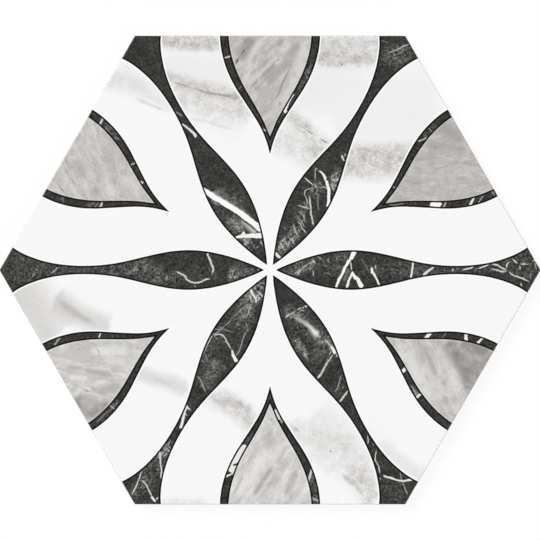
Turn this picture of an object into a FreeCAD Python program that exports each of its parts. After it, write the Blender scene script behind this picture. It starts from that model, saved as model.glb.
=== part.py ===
import FreeCAD, Part
import enum
import math
import os
import Sketcher

# Hexagonal porcelain floor tile: pressed, glazed and fired as one piece.
# The glazed face looks up (+Z), the corners lie on the X axis and the flats face +Y and -Y.
# The origin is the centre of the back, at the height of the ribs that the tile lies on.
# All lengths are in millimetres and all angles in degrees.

NODE = "hexagon_tile"

DRIVING_SIZES = [
    ("across_flats", 285.0, "face, from flat to flat"),
    ("thickness", 9.5, "from the ribs of the back to the glazed face"),
    ("corner_radius", 1.2, "upright corners"),
    ("arris_radius", 0.8, "rounded edge between the face and the sides"),
    ("band_height", 4.0, "upright band below the face, which meets the grout"),
    ("side_inset", 0.5, "how far the sides lean in between the band and the bevel"),
    ("back_bevel", 1.2, "bevel between the sides and the back"),
    ("rim_width", 10.0, "plain rim of the back, from the bevel to the key relief"),
    ("cell_rings", 5, "key relief, rings of cells around the middle one"),
    ("rib_width", 3.0, "key relief, rib between two cells at the back"),
    ("cell_depth", 0.7, "key relief, depth of a cell"),
    ("cell_draft", 40.0, "key relief, slope of the cell walls from the upright"),
]

SIDES = 6
SIDE_ANGLE = 360.0 / SIDES
HALF_ANGLE = math.radians(SIDE_ANGLE / 2)
UPWARDS = FreeCAD.Vector(0, 0, 1)

# Sketch constraints know the points of a line, arc or circle, and the sketch's axes, by number.
At = enum.IntEnum("At", "START END CENTRE")
Axis = enum.Enum("Axis", {"X": -1, "Y": -2}, type=int)

# The fillet of the arris stays a little smaller than the upright corner that it runs around.
ARRIS_RADIUS = "min(Sizes.arris_radius; 0.9 * Sizes.corner_radius)"

# The key relief is three equal fields of cells around a middle one.
FIELDS = 3
FIELD_ANGLE = 360.0 / FIELDS

# The cells stand corner to the flats of the tile, and their rows lie cos(30 deg) of the pitch
# apart. From the middle to the rim there is a row for each ring, and then half a cell, from its
# centre to its corner. Its corner lies half a rib short of the corner of its share of the pitch.
RELIEF_REACH = "(Sizes.across_flats / 2 - Sizes.side_inset - Sizes.back_bevel - Sizes.rim_width)"
HALF_RIB = "Sizes.rib_width / 2 / cos(30 deg)"
PITCHES = "(Sizes.cell_rings * cos(30 deg) + 0.5 / cos(30 deg))"
CELL_PITCH = f"({RELIEF_REACH} + {HALF_RIB}) / {PITCHES}"


def make_sheet(doc):
    """Keep the driving sizes in a sheet, one row each, under the names that the features use."""
    sheet = doc.addObject("Spreadsheet::Sheet", "Sizes")
    for row, (name, size, meaning) in enumerate(DRIVING_SIZES, start=1):
        sheet.set(f"A{row}", name)
        sheet.set(f"B{row}", str(size))
        sheet.setAlias(f"B{row}", name)
        sheet.set(f"C{row}", meaning)
    doc.recompute()
    return sheet


def make_derived(doc):
    """Hold the sizes that follow from the driving ones."""
    derived = doc.addObject("App::VarSet", "Derived")
    derived.addProperty("App::PropertyFloat", "cell_pitch", "KeyRelief",
                        "from cell centre to cell centre")
    derived.setExpression("cell_pitch", CELL_PITCH)
    doc.recompute()
    return derived


def back_sketch(body, name):
    """Start a sketch on the body's plane of the back."""
    sketch = body.newObject("Sketcher::SketchObject", name)
    plane = next(item for item in body.Origin.OriginFeatures if item.Role == "XY_Plane")
    sketch.AttachmentSupport = [(plane, "")]
    sketch.MapMode = "FlatFace"
    return sketch


def polar(centre, radius, degrees):
    """Point at a distance and an angle from a centre."""
    turn = math.radians(degrees)
    return centre + FreeCAD.Vector(radius * math.cos(turn), radius * math.sin(turn), 0)


def draw_hexagon(sketch, centre, apothem, first_corner, trim=0.0):
    """Draw a regular hexagon around an inscribed circle; return the circle and the sides.

    The sides run counter-clockwise from the corner at the angle first_corner. Each stops short
    of its corners by trim. Their slopes are fixed, the circle's centre and radius are not.
    """
    circle = sketch.addGeometry(Part.Circle(centre, UPWARDS, apothem), True)
    reach = apothem / math.cos(HALF_ANGLE)
    sides = []
    for number in range(SIDES):
        corner = first_corner + number * SIDE_ANGLE
        slope = (corner + SIDE_ANGLE / 2 + 90) % 360
        along = polar(FreeCAD.Vector(), 1, slope)
        start = polar(centre, reach, corner) + along * trim
        end = polar(centre, reach, corner + SIDE_ANGLE) - along * trim
        side = sketch.addGeometry(Part.LineSegment(start, end), False)
        sketch.addConstraint(Sketcher.Constraint("Tangent", side, circle))
        sketch.addConstraint(Sketcher.Constraint("Angle", side, math.radians(slope)))
        sides.append(side)
    return circle, sides


def following_pairs(sides):
    """Each side with the one that follows it around the outline."""
    return zip(sides, sides[1:] + sides[:1])


def name_constraint(sketch, name, constraint):
    """Add a constraint under a name that expressions can use."""
    sketch.renameConstraint(sketch.addConstraint(constraint), name)


def tile_outline(body, sheet, name, height, apothem):
    """Rounded hexagon around the Z axis; height and apothem are expressions of the sizes."""
    sketch = back_sketch(body, name)
    sketch.setExpression(".AttachmentOffset.Base.z", height)
    radius = sheet.corner_radius
    centre = FreeCAD.Vector()
    circle, sides = draw_hexagon(sketch, centre, sheet.across_flats / 2, 0,
                                 radius * math.tan(HALF_ANGLE))
    arc_centre_reach = (sheet.across_flats / 2 - radius) / math.cos(HALF_ANGLE)
    arcs = []
    for number, (side, next_side) in enumerate(following_pairs(sides), start=1):
        corner = number * SIDE_ANGLE
        rounding = Part.Circle(polar(centre, arc_centre_reach, corner), UPWARDS, radius)
        start = math.radians(corner) - HALF_ANGLE
        arc = sketch.addGeometry(Part.ArcOfCircle(rounding, start, start + 2 * HALF_ANGLE), False)
        sketch.addConstraint(Sketcher.Constraint("Tangent", side, At.END, arc, At.START))
        sketch.addConstraint(Sketcher.Constraint("Tangent", arc, At.END, next_side, At.START))
        arcs.append(arc)
    for arc in arcs[1:]:
        sketch.addConstraint(Sketcher.Constraint("Equal", arcs[0], arc))
    sketch.addConstraint(Sketcher.Constraint("PointOnObject", circle, At.CENTRE, Axis.X))
    sketch.addConstraint(Sketcher.Constraint("PointOnObject", circle, At.CENTRE, Axis.Y))
    name_constraint(sketch, "Apothem",
                    Sketcher.Constraint("Radius", circle, sheet.across_flats / 2))
    name_constraint(sketch, "Corner", Sketcher.Constraint("Radius", arcs[0], radius))
    sketch.setExpression("Constraints.Apothem", apothem)
    sketch.setExpression("Constraints.Corner", "Sizes.corner_radius")
    return sketch


def edges_at_top(feature):
    """Names of the edges that lie flat at the top of a feature."""
    top = feature.Shape.BoundBox.ZMax
    return [f"Edge{number}" for number, edge in enumerate(feature.Shape.Edges, start=1)
            if math.isclose(edge.BoundBox.ZMin, top, abs_tol=1e-4)]


def make_slab(doc, body, sheet):
    """The tile without its key relief: upright band, leaning sides, back bevel and arris."""
    band_foot = tile_outline(body, sheet, "BandFoot", "Sizes.thickness - Sizes.band_height",
                             "Sizes.across_flats / 2")
    bevel_top = tile_outline(body, sheet, "BevelTop", "Sizes.back_bevel",
                             "Sizes.across_flats / 2 - Sizes.side_inset")
    back_edge = tile_outline(body, sheet, "BackEdge", "0 mm",
                             "Sizes.across_flats / 2 - Sizes.side_inset - Sizes.back_bevel")
    band = body.newObject("PartDesign::Pad", "UprightBand")
    band.Profile = band_foot
    band.setExpression("Length", "Sizes.band_height")

    flanks = body.newObject("PartDesign::AdditiveLoft", "LeaningSides")
    flanks.Profile = band_foot
    flanks.Sections = [bevel_top, back_edge]
    flanks.Ruled = True
    doc.recompute()

    arris = body.newObject("PartDesign::Fillet", "Arris")
    arris.Base = (flanks, edges_at_top(flanks))
    arris.setExpression("Radius", ARRIS_RADIUS)
    doc.recompute()


def cell_pocket(doc, body, apothem, name, centre_x):
    """One hexagonal cell of the key relief, with sloping walls, pressed up into the back.

    Its centre lies on the X axis: at the origin where centre_x is 0, and otherwise a pitch away.
    """
    sketch = back_sketch(body, name + "Outline")
    centre = FreeCAD.Vector(centre_x, 0, 0)
    circle, sides = draw_hexagon(sketch, centre, apothem, SIDE_ANGLE / 2)
    for side, next_side in following_pairs(sides):
        sketch.addConstraint(Sketcher.Constraint("Coincident", side, At.END, next_side, At.START))
    sketch.addConstraint(Sketcher.Constraint("PointOnObject", circle, At.CENTRE, Axis.X))
    name_constraint(sketch, "Apothem", Sketcher.Constraint("Radius", circle, apothem))
    sketch.setExpression("Constraints.Apothem", "(Derived.cell_pitch - Sizes.rib_width) / 2")
    if centre_x == 0:
        sketch.addConstraint(Sketcher.Constraint("PointOnObject", circle, At.CENTRE, Axis.Y))
    else:
        name_constraint(sketch, "CentreX", Sketcher.Constraint(
            "DistanceX", Axis.X, At.START, circle, At.CENTRE, centre_x))
        sketch.setExpression("Constraints.CentreX", "Derived.cell_pitch")
    pocket = body.newObject("PartDesign::Pocket", name)
    pocket.Profile = sketch
    pocket.Reversed = True
    pocket.setExpression("Length", "Sizes.cell_depth")
    pocket.setExpression("TaperAngle", "-Sizes.cell_draft")
    doc.recompute()
    return sketch, circle, pocket


def draw_row_direction(sketch, circle, pitch):
    """Construction line from a cell's centre that points from one row to the next."""
    start = FreeCAD.Vector(pitch, 0, 0)
    end = polar(start, pitch, FIELD_ANGLE)
    line = sketch.addGeometry(Part.LineSegment(start, end), True)
    sketch.addConstraint(Sketcher.Constraint("Coincident", line, At.START, circle, At.CENTRE))
    sketch.addConstraint(Sketcher.Constraint("Angle", line, math.radians(FIELD_ANGLE)))
    name_constraint(sketch, "RowStep", Sketcher.Constraint("Distance", line, pitch))
    sketch.setExpression("Constraints.RowStep", "Derived.cell_pitch")


def make_key_relief(doc, body, sheet):
    """Honeycomb of cells in the back: one in the middle and rings of cells around it.

    The rings are three equal fields, a third of a turn apart. Each field has one row of cells
    from the middle towards a corner of the tile, and the rows beside it.
    """
    pitch = make_derived(doc).cell_pitch
    apothem = (pitch - sheet.rib_width) / 2
    cell_pocket(doc, body, apothem, "MiddleCell", 0)
    sketch, circle, cell = cell_pocket(doc, body, apothem, "FirstCell", pitch)
    draw_row_direction(sketch, circle, pitch)

    relief = body.newObject("PartDesign::MultiTransform", "KeyRelief")
    relief.Originals = [cell]
    relief.Refine = False

    row = doc.addObject("PartDesign::LinearPattern", "CellsInRow")
    row.Direction = (sketch, ["H_Axis"])
    row.Mode = "Spacing"
    row.setExpression("Offset", "Derived.cell_pitch")
    row.setExpression("Occurrences", "Sizes.cell_rings")

    rows = doc.addObject("PartDesign::LinearPattern", "RowsInField")
    rows.Direction = (sketch, ["Axis0"])
    rows.Mode = "Spacing"
    rows.setExpression("Offset", "Derived.cell_pitch")
    rows.setExpression("Occurrences", "Sizes.cell_rings + 1")

    fields = doc.addObject("PartDesign::PolarPattern", "FieldsInTurn")
    fields.Axis = (sketch, ["N_Axis"])
    fields.Angle = 360
    fields.Occurrences = FIELDS

    relief.Transformations = [row, rows, fields]
    body.Tip = relief
    doc.recompute()


def check_objects(doc):
    """Stop if any object of the document has failed."""
    for item in doc.Objects:
        if "Invalid" in item.State or "Error" in item.State:
            raise RuntimeError(f"{item.Label} failed: {item.State}")


def export_body(body):
    """Write the finished solid to its own STEP file."""
    shape = body.Shape
    if shape.isNull() or not shape.isValid():
        raise RuntimeError(f"{body.Label} has no valid shape")
    os.makedirs("parts", exist_ok=True)
    shape.exportStep(f"parts/{body.Label}.step")


def main():
    doc = FreeCAD.newDocument("HexagonTile")
    sheet = make_sheet(doc)
    body = doc.addObject("PartDesign::Body", "HexagonTile")
    body.Label = NODE
    body.Placement = FreeCAD.Placement()
    make_slab(doc, body, sheet)
    slab_volume = body.Shape.Volume
    make_key_relief(doc, body, sheet)
    check_objects(doc)
    relief_volume = slab_volume - body.Shape.Volume
    print(f"slab {slab_volume:.0f} mm3, less a key relief of {relief_volume:.0f} mm3")
    export_body(body)


main()
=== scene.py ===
import math
from functools import partial

import bmesh
import bpy
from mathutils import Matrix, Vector


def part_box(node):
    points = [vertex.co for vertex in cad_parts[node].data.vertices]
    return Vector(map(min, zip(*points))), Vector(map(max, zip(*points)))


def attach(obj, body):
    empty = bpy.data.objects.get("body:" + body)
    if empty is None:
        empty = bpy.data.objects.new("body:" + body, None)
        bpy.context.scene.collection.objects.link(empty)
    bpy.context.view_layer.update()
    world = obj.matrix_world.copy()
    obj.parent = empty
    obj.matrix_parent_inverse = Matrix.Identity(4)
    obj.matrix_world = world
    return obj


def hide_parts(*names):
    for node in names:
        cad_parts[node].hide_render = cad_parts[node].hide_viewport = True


# The hexagon floor tile seen from straight above, as a glazed porcelain tile with a printed
# marble rosette. Blender lengths are metres; the print is laid out in millimetres on the face,
# with x to the right of the photograph, y up it, and the origin in the middle of the tile.
# Brightnesses are screen values from 0 to 255.

MM = 0.001
NODE = "hexagon_tile"

# The print's outlines, as half widths in mm at distances in mm from the middle of the tile.
# A band runs along the line from the middle to each corner of the tile.
BAND = ((0, -1.8), (4.2, 0.3), (8, 2.1), (14, 4.5), (22, 7.35), (32, 10.0), (40, 11.4),
        (49, 12.0), (58, 11.5), (66, 10.25), (76, 8.05), (88, 5.2), (98, 3.45), (106, 2.7),
        (113, 2.5), (120, 2.7), (128, 3.5), (136, 5.0), (144, 7.45), (150, 9.95), (156, 13.5),
        (162, 19.0))
# A petal stands on the middle of each side of the tile and points to the middle of the tile.
PETAL = ((60, -3.0), (71, 0.1), (76, 1.45), (82, 3.55), (88, 6.4), (94, 10.0), (102, 15.2),
         (112, 21.55), (120, 25.5), (128, 28.25), (136, 29.9), (144, 30.45))
PETAL_HEART = ((70, -4.0), (81, 0.0), (84, 1.25), (90, 3.75), (96, 6.85), (104, 11.45),
               (112, 16.1), (120, 19.9), (128, 22.75), (136, 24.55), (144, 25.35))
STROKE = 0.95
KEYLINE = 0.9
PRINT_BLUR = 0.3
MARBLE_BLUR = 0.4
NOTHING = 1e-5

# The tile's body in mm: where the glaze ends, how much the pressed edges are eased, and how far
# in from the sides their faces reach.
GLAZE_FOOT = 8.85
EASED_EDGE = 0.2
SIDE_DEPTH = 2.2
# The face is printed in six sectors from corner to corner, counted with the angle from x on.
# Each has its own material, so that it only holds the veins near it.
SECTORS = ("east_north", "north", "west_north", "west_south", "south", "east_south")
HALF_SECTOR = math.radians(30)
# Numbers of the other materials.
SIDES, BACK = 6, 7
# The tile's map: widths of the face and the back in it, and the sides' strips.
FACE_SHARE = 0.9
BACK_SHARE = 0.352
STRIP_CORNER = (0.004, 0.79)
STRIP_STEP = (0.32, 0.07)
STRIP_SIZE = (0.305, 0.06)

# Colours of the three marbles by brightness: greys are a little warm, black a little green.
TONES = ((0, (0, 0, 0)), (30, (30, 30, 29)), (62, (62, 62, 59)), (90, (91, 91, 88)),
         (130, (131, 130, 128)), (160, (163, 159, 156)), (188, (191, 187, 184)),
         (208, (210, 208, 206)), (228, (229, 228, 227)), (245, (245, 245, 245)),
         (255, (255, 255, 255)))
WHITE, BLACK, LINE, KEY = 249, 50, 8, 255
# Veins in the black marble from this brightness on have solid, not broken lines.
SOLID = 222
# Blurred veins darker than this lie under the black marble's grain.
DIM = 130

# Veins in mm: brightness, width at the start, width at the end, then the points.
BAND_VEINS = (
    # north-west band
    (140, 0.9, 0.9, (-58.5, 96.5), (-55.5, 95), (-52, 93)),
    (120, 0.7, 0.6, (-58.5, 95), (-55.5, 93)),
    (225, 0.9, 2, (-54, 89), (-51, 87), (-48, 84.5), (-44.5, 80.5)),
    (250, 3, 3.7, (-42, 49.6), (-38.5, 47.3), (-32, 43.1), (-25.5, 39.3), (-17, 33.7), (-11.5, 29.5),
        (-4.5, 24.3)),
    (66, 0.6, 0.6, (-17.5, 31), (-12.5, 27.2), (-7.5, 23.2)),
    (244, 1.6, 3.3, (-21.5, 19.3), (-17.5, 20.5), (-12, 20.8), (-4.5, 21)),
    (238, 1.2, 3, (-15.8, 24), (-16.3, 20.5)), (170, 0.8, 0.8, (-6, 19.5), (-5, 16), (-4, 13.5)),
    (135, 0.6, 0.6, (-10, 12.5), (-7.5, 14), (-5, 15)),
    # north-east band
    (205, 0.3, 0.6, (69, 130.8), (75, 133), (80, 135.3), (85.5, 137.8)),
    (115, 0.6, 0.6, (66, 139.5), (74, 137.8)), (200, 0.5, 0.8, (26.5, 63), (29.5, 60.5)),
    (240, 0.9, 1.7, (29.3, 60.6), (32, 58.4), (34, 54.4)),
    (248, 1.7, 2, (33.8, 55), (35.3, 50.6), (35.7, 45), (35.1, 38)),
    (180, 0.7, 0.6, (27.5, 63), (27.5, 58.5), (27.5, 53.5)),
    (210, 0.8, 0.8, (20, 56.8), (23.5, 54), (27.2, 50.8)), (190, 0.8, 0.8, (26.5, 51), (29.5, 50)),
    (175, 0.7, 0.9, (29.5, 50), (32.5, 50.5), (35.5, 48.5)),
    (185, 0.9, 0.7, (28, 51), (24.5, 49.5), (21, 47.5), (22.5, 43), (23.5, 38)),
    (200, 0.9, 1.1, (24, 46), (24.5, 40.5), (25, 34), (27, 26)),
    (190, 0.7, 1, (16, 40), (19, 38.5), (23, 37.5), (25, 36.5)),
    (160, 0.6, 0.6, (19.5, 43), (21.5, 40), (23.5, 37.5)),
    (165, 0.7, 0.7, (18, 37), (20, 33), (22, 29)),
    (165, 0.7, 0.7, (16.5, 33), (19, 29.5), (21.5, 25)),
    (150, 0.6, 0.6, (20, 36), (21, 32), (20.5, 28.5)),
    (185, 0.8, 0.8, (13.5, 29), (15.5, 24), (18.5, 19.5)),
    (185, 0.7, 0.9, (14.5, 28), (17.5, 29), (19.5, 25.5), (23, 21.5)),
    (190, 0.9, 0.9, (12.5, 20.5), (14, 17), (15.5, 14.5)),
    (170, 0.8, 0.7, (11, 17), (12.5, 19.5), (13.5, 15.5)),
    (190, 0.9, 0.9, (5.5, 18), (7, 15.5), (8.5, 13.5)),
    (165, 0.7, 0.7, (8, 19), (9.5, 17), (11, 16)), (228, 2, 1.5, (2.6, 11), (4.6, 8.7), (6.8, 6.6)),
    (150, 0.7, 0.6, (36, 52.5), (38.5, 50.5), (40, 47)),
    (175, 1, 0.9, (35.5, 51), (37.5, 52), (40, 50)),
    (185, 1.2, 0.9, (36.5, 57), (38.5, 54.5), (41, 56.5)), (170, 1, 0.8, (39, 57.5), (41.8, 60)),
    (215, 0.9, 0.9, (40.3, 53.8), (41.6, 56)), (190, 0.9, 0.8, (36.5, 52.5), (38, 49.5), (39.5, 46.5)),
    (160, 0.9, 0.8, (36, 54), (37.5, 56.5), (39, 53), (41.5, 57.5)),
    (115, 1.2, 1, (30, 47), (29, 40.5), (30, 34.5)),
    (130, 0.6, 0.6, (6.5, 27), (9, 25.5), (11, 23.5)),
    (225, 1.2, 1, (43.5, 70), (44.5, 67.5), (45.5, 66)), (190, 0.9, 0.9, (45, 71), (46.5, 69)),
    # east band
    (170, 0.6, 0.8, (24, 5), (20.5, 1.5), (13.5, -2.5)),
    (190, 0.8, 0.9, (20, 1.5), (17.5, -1.5), (15.5, -4)),
    (190, 1.6, 1.2, (24.5, 6), (26.5, 5), (27.5, 3)),
    (170, 0.8, 0.8, (25.5, 1.5), (26.5, -1.5), (25.5, -5)),
    (150, 0.7, 0.7, (21.5, 0), (24.5, 1), (27.5, 1)),
    (140, 0.8, 0.8, (27.5, 8.8), (30, 7.6), (32.7, 5.4)), (145, 0.9, 0.8, (35.8, 8.6), (35.5, 5.2), (37.5, 3.8)),
    (140, 0.8, 0.8, (40.2, 9.5), (40.7, 6.5), (42.5, 5.2)), (125, 0.8, 0.8, (43.5, 9.5), (45.5, 8), (44.5, 5)),
    (115, 0.8, 0.8, (31, 1), (33.6, 2.3), (36.5, 0.4)), (118, 0.8, 0.8, (32, -2.8), (35.2, -2), (38, -5)), (250, 3.1, 2.4, (51.7, 11.8), (48.6, 6)), (248, 1.8, 1.4, (48.7, 6.6), (46.2, 2.4), (42.9, -4), (39.9, -11)),
    (200, 0.9, 0.9, (49.4, 6.5), (49.2, 3), (50, -1.5)),
    (242, 1.1, 1.6, (49.9, -1.8), (48.3, -5.8), (46.4, -11)),
    (246, 1.2, 2.4, (49.7, -0.8), (51.3, -4.1), (53.4, -5.6)),
    (246, 2.2, 2.9, (52.8, -4.6), (54.3, -7.4), (56, -11)),
    (125, 0.5, 0.5, (54.5, 9), (58, 2.5), (61, -2)),
    (110, 1, 0.8, (44.5, -6.5), (46.5, -2.5), (48, 1)),
    (240, 1.4, 1.9, (61.6, 2), (62.3, -2.4)), (240, 1.5, 1.1, (62.6, -1.2), (64.6, -5.3), (66.7, -9.4)),
    (190, 0.8, 0.8, (64, 4), (64.5, -0.5)), (228, 1.2, 1.2, (87, 5.5), (86.5, 1), (85.5, -5)),
    (222, 1, 1.8, (100, 2), (97, 0), (93, -3.5)), (205, 0.9, 0.9, (111.5, 1.5), (110.5, -1.5)),
    (215, 1.1, 1.1, (116, -1), (118.5, 0.5), (121.5, 1), (125.5, 2.5), (126, -0.5)),
    (215, 0.9, 0.9, (125.5, 0.5), (129.5, 2), (134, 3.5)),
    (215, 1, 1, (133.5, 3.5), (138, 3), (140.5, 1.5), (144.5, -0.5)),
    (210, 0.9, 1, (144.5, 0), (147.5, -3), (152, -4.5), (158, -7.5)),
    (205, 0.9, 0.9, (133.5, 1.5), (139, -0.5), (144.5, -1)),
    (215, 0.9, 0.9, (144.5, -0.5), (144, 3.5), (147, 5.5)),
    (215, 1, 1, (146.5, 7.5), (149, 5), (151.5, 3.5)),
    (205, 0.9, 0.9, (151.5, 3.5), (152, -0.5)), (215, 1, 1, (151.5, 3.5), (157.5, 3.5)),
    (215, 1, 0.9, (157.5, 3.5), (157, 6), (160.5, 6), (161, 2)),
    (150, 0.7, 0.8, (160.5, 6), (161.5, 1.5), (163, -1)), (150, 0.6, 0.6, (159, 0), (158, -7)),
    (200, 1, 1, (152, -7.5), (153, -10.5)),
    # west band
    (205, 1.4, 1.3, (-38.5, 10), (-36.5, 6.5), (-35.5, 3), (-34.5, 0.5), (-35.5, -3.5)),
    (225, 1.6, 1.2, (-38.5, 10), (-37, 8.5)),
    (210, 0.9, 1, (-58, 0), (-56, -1.5), (-52, -3.5), (-49.5, -6)),
    (215, 1.1, 1.1, (-53, -3.2), (-48.5, -7), (-44, -7.8), (-39.5, -6), (-35.5, -5)),
    (160, 1, 1, (-45.5, -9), (-45.5, -10.5)), (115, 0.6, 0.6, (-57.5, -4), (-58, -9.5)),
    (115, 0.8, 0.8, (-75, 3.5), (-76, -0.5), (-77, -2)),
    (160, 0.8, 0.8, (-21, 2), (-22.5, -1.5), (-22, -5)),
    (150, 0.7, 0.7, (-20, 1), (-19, -1.5), (-20, -5)), (125, 0.7, 0.7, (-24, -1), (-24.5, -4)),
    (185, 1.2, 1, (-22, -3.5), (-21, -5.5)), (125, 0.7, 0.7, (-18, -3.5), (-13.5, -2.5)),
    (170, 1, 1, (-8, 0.5), (-6.5, 0)), (130, 0.7, 0.7, (-11.5, 1.5), (-10, -0.5)),
    (150, 0.8, 0.8, (-143, 0), (-143.5, -2.5), (-145.5, -5.5)),
    (165, 0.8, 0.8, (-127.5, 2.5), (-131, -0.5), (-134, -3)),
    (100, 0.5, 0.5, (-120.5, 1.5), (-122, 0)), (190, 1, 1, (-96, 3), (-95, 2.5)),
    (120, 0.6, 0.6, (-81, 2.5), (-84, -0.5), (-87, -4)),
    # south-west band
    (225, 1.6, 1, (-12, -11), (-10.5, -14.5), (-8.5, -18), (-8.5, -20.5)),
    (190, 0.8, 0.8, (-11, -14), (-11.5, -18), (-10, -20)), (190, 1, 0.9, (-6.5, -13.5), (-5, -17)),
    (220, 0.9, 0.9, (-7.5, -16), (-6, -17.5)),
    (165, 0.5, 0.5, (-12, -19.5), (-18.5, -25), (-23, -30)),
    (160, 0.5, 0.5, (-22.5, -29.5), (-28, -34.5), (-33.5, -39), (-38, -43)),
    (165, 0.9, 0.8, (-11, -20), (-12.5, -24), (-14.2, -29.5)), (150, 0.8, 0.8, (-14, -31), (-14.2, -36)),
    (150, 0.6, 0.5, (-32.5, -33.5), (-28, -36), (-23.5, -37.5), (-21, -38.5)),
    (155, 0.6, 0.6, (-36, -36.5), (-31, -36), (-27, -38)), (150, 0.6, 0.6, (-30, -33.5), (-31.5, -38), (-35.5, -41)),
    (200, 0.8, 1, (-36, -38.5), (-32.5, -39), (-28.5, -40), (-26, -44), (-23, -49)),
    (225, 1, 1.6, (-23.2, -48), (-21.8, -53.4)),
    (242, 1.8, 2.4, (-23, -50.8), (-21.5, -53.5), (-20, -56)),
    (185, 0.8, 0.8, (-35, -39), (-36.5, -42.5), (-39, -47), (-42, -54)),
    (150, 1.6, 0.8, (-39, -45.5), (-40.5, -51)), (150, 0.9, 0.9, (-33.5, -41), (-31, -42)),
    (150, 0.8, 0.8, (-21, -52), (-19, -49.5), (-17.5, -45.5), (-16, -41), (-14, -36)),
    (165, 0.8, 0.8, (-21, -52), (-19.5, -50)), (150, 1.4, 1.4, (-13.5, -35.5), (-14, -37.5)),
    (165, 0.7, 0.7, (-45, -63.5), (-42.5, -66.5), (-40.5, -71), (-38.5, -75)),
    (115, 0.6, 0.6, (-42, -65), (-37.5, -62.5), (-33.5, -62)),
    (220, 1.4, 1, (-50.5, -81), (-50, -83.5), (-47, -85.5)),
    (235, 1.2, 1.8, (-50.5, -82.5), (-52, -87), (-53, -91.5), (-54.5, -96.5)),
    (190, 0.9, 0.9, (-52, -86.5), (-50, -89)),
    (160, 0.8, 0.8, (-60.5, -102), (-61.5, -105.5), (-63.5, -107.5)),
    (170, 0.9, 0.9, (-65.5, -108.5), (-63.5, -108), (-61, -110.5)),
    (215, 1, 1, (-62, -109.5), (-61, -110)),
    (215, 1.2, 0.8, (-67, -109), (-66.5, -116.5), (-66, -122.5), (-66.5, -128)),
    (210, 0.8, 0.8, (-78, -121), (-79.5, -127), (-81.5, -131.5), (-84.5, -138)),
    (210, 0.8, 0.9, (-80, -127.5), (-76.5, -129), (-74, -133), (-71.5, -138.5)),
    (230, 1.4, 1.4, (-72.5, -137.5), (-71, -139), (-69.5, -141)),
    (235, 1.8, 1.8, (-69, -138.5), (-68, -139)), (125, 1, 1, (-78.5, -122), (-77, -124)),
    # south-east band
    (205, 0.8, 0.8, (8.6, -30), (11.4, -27.3), (13.6, -26.2), (16.2, -24.4)),
    (205, 0.8, 0.7, (15.5, -25), (18.2, -23.2), (20.5, -22.8)),
    (185, 0.7, 0.7, (16.5, -25), (19.5, -24.6), (22.2, -24)), (205, 0.7, 0.8, (19.3, -22.8), (21.5, -21.8), (24.2, -22.4)),
    (215, 0.9, 0.9, (19.9, -23.6), (20.4, -22)), (215, 0.9, 0.9, (21.8, -23.2), (22.4, -21.7)),
    (150, 0.9, 0.9, (11, -26), (12.5, -28)), (238, 1.2, 2.2, (36.8, -45.8), (38.5, -48.6), (40, -51)),
    (205, 1.4, 0.7, (39.8, -50.5), (42, -54)), (165, 0.8, 0.8, (37.5, -47.5), (36.6, -50), (35.5, -53)),
    (200, 0.7, 1.3, (38.4, -50), (36.3, -54.3), (33, -59.5), (29, -66.5)),
    (150, 0.6, 0.6, (35.7, -52), (34, -56.5), (31.5, -60.5)), (175, 1.3, 1.2, (32.4, -41.8), (35.4, -44.5), (37.4, -47)),
    (215, 1.2, 1.8, (30.5, -62.5), (29, -66.5)),
    (185, 1, 0.8, (14.6, -44), (16.2, -41.9)), (150, 0.7, 0.7, (16.2, -42), (18.5, -41.3)),
    (145, 0.9, 0.9, (15.5, -44), (18, -44.2), (19.5, -46)),
    (165, 0.5, 0.5, (44, -62.5), (42.5, -66.5), (41, -71), (38.5, -75)),
    (150, 1, 1, (43.5, -71), (45, -72)), (215, 1, 1.1, (48.2, -72.5), (45, -76.5), (41.5, -81)),
    (205, 0.7, 0.7, (59.5, -99.5), (59.6, -107)), (110, 0.6, 0.6, (62, -103.5), (63, -109)),
    (205, 0.7, 0.7, (65.6, -108.5), (63.9, -115), (65.8, -119), (67, -125)),
    (230, 1.2, 1.2, (68.5, -125), (74, -126.5), (80, -128), (87.5, -127)),
    (150, 0.9, 0.9, (66, -126.5), (68, -127)),
    (160, 0.6, 0.6, (78.5, -122), (80, -127), (81.5, -131.5), (84, -138)),
    (100, 0.6, 0.5, (69.5, -129.5), (72, -133), (75.5, -136)),
    (100, 0.6, 0.5, (73, -138), (77, -139.5), (81, -140.5)),
)
# Blurred veins in the black marble.
BAND_BLURS = (
    # north-west band
    (82, 5, 5, (-36, 49.5), (-25, 42.5), (-13.5, 34.5)), (165, 1.6, 2.4, (-38, 48.8), (-25, 40.5), (-9, 29.5)), (118, 1.6, 2.2, (-37.5, 44), (-33, 41), (-29.5, 38.5)),
    (92, 7, 7, (-28, 32), (-21.5, 28), (-15, 24)), (196, 1.4, 4, (-19.5, 32), (-14, 26.8), (-6, 21.5)),
    (105, 4, 3, (-17, 16.5), (-12.5, 16.5)),
    # east band
    (96, 3, 2.4, (48.2, 2.5), (46.5, -3), (44, -9)),
    # south-west band
    (80, 9, 9, (-31, -52), (-35, -61), (-42, -74)), (70, 6, 6, (-10, -18), (-20, -32)),
    # south-east band
    (118, 2.4, 3, (10, -26.5), (16, -28.5)), (180, 1.8, 2.8, (12, -27.3), (18, -30.2), (25, -35.3)),
    (242, 1.6, 4, (20, -31.2), (24.5, -34.9), (28, -38.6), (31.5, -41.5)),
    (92, 4, 4, (25, -40.5), (30, -43), (34, -46)), (150, 2.4, 3.4, (33.5, -43), (37.5, -47), (40.5, -52)), (70, 8, 8, (27, -45), (30, -52), (29, -58)),
    (124, 2.4, 2.2, (17, -43.5), (20, -47.3), (21.5, -51), (24.5, -56)), (95, 6, 6, (15, -43), (20, -52)),
)
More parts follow.
